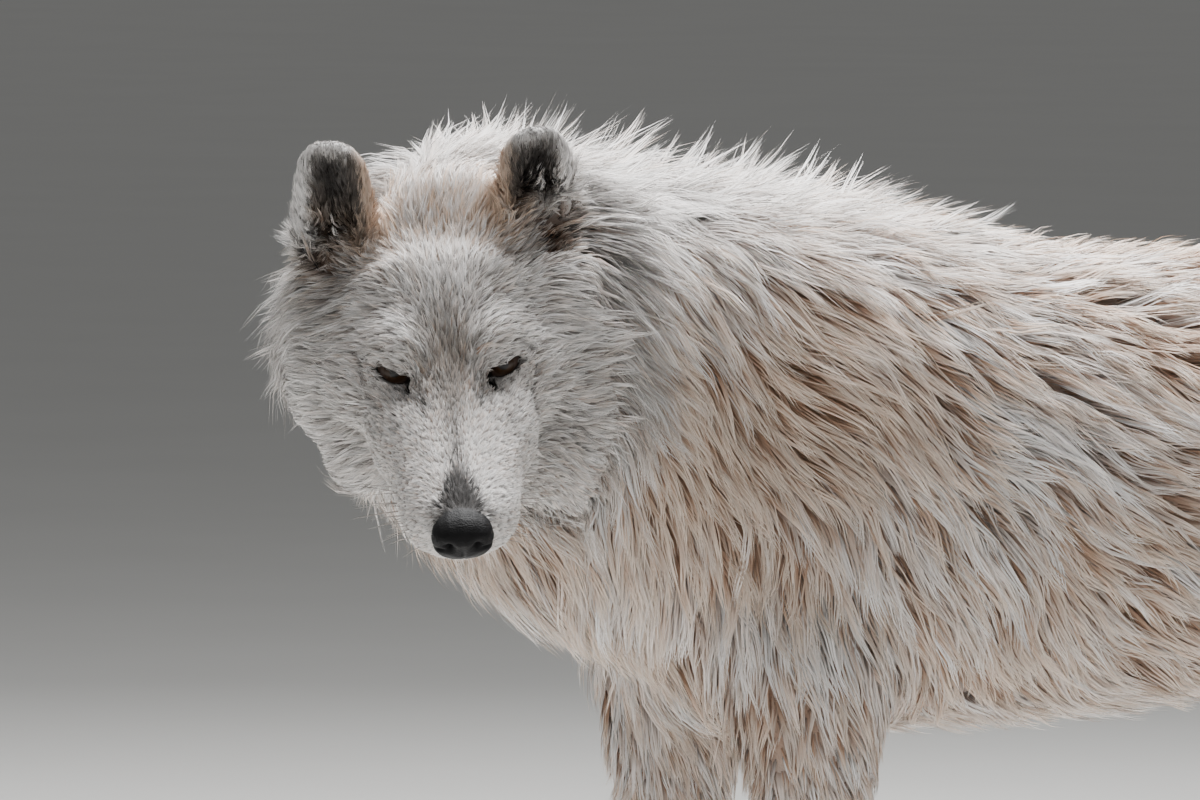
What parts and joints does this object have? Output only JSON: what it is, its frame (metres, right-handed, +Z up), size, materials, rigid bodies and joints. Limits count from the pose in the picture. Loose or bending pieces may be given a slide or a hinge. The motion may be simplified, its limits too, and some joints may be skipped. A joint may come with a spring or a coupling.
{
  "type": "arctic wolf",
  "caption": "Standing arctic wolf with a thick pale coat, head lowered and turned to its left, as a still life-size model.",
  "frame": {"origin": "on the floor, under the middle of the whole wolf's box", "axes": "+Z up, the wolf faces -Y, its left side is +X"},
  "size_m": [0.33, 1.2538, 0.8017],
  "materials": {
    "body_coat": "thick cream-white fur with buff underneath",
    "leg_coat": "short white fur",
    "face_coat": "short greyish-white fur, buff on the forehead",
    "ear_coat": "short pale fur with dark brown-grey insides",
    "eye": "dark, wet and glossy",
    "nose_leather": "black, pebbled and slightly moist"
  },
  "bodies": {
    "root": {"head": "face_coat", "neck": "body_coat", "trunk": "body_coat", "tail": "body_coat", "ear_left": "ear_coat", "ear_right": "ear_coat", "eye_left": "eye", "eye_right": "eye", "nose": "nose_leather", "foreleg_left_forearm": "leg_coat", "foreleg_left_pastern": "leg_coat", "foreleg_left_paw": "leg_coat", "hindleg_left_thigh": "leg_coat", "hindleg_left_shank": "leg_coat", "hindleg_left_hock": "leg_coat", "hindleg_left_paw": "leg_coat", "foreleg_right_forearm": "leg_coat", "foreleg_right_pastern": "leg_coat", "foreleg_right_paw": "leg_coat", "hindleg_right_thigh": "leg_coat", "hindleg_right_shank": "leg_coat", "hindleg_right_hock": "leg_coat", "hindleg_right_paw": "leg_coat"}
  },
  "joints": []
}
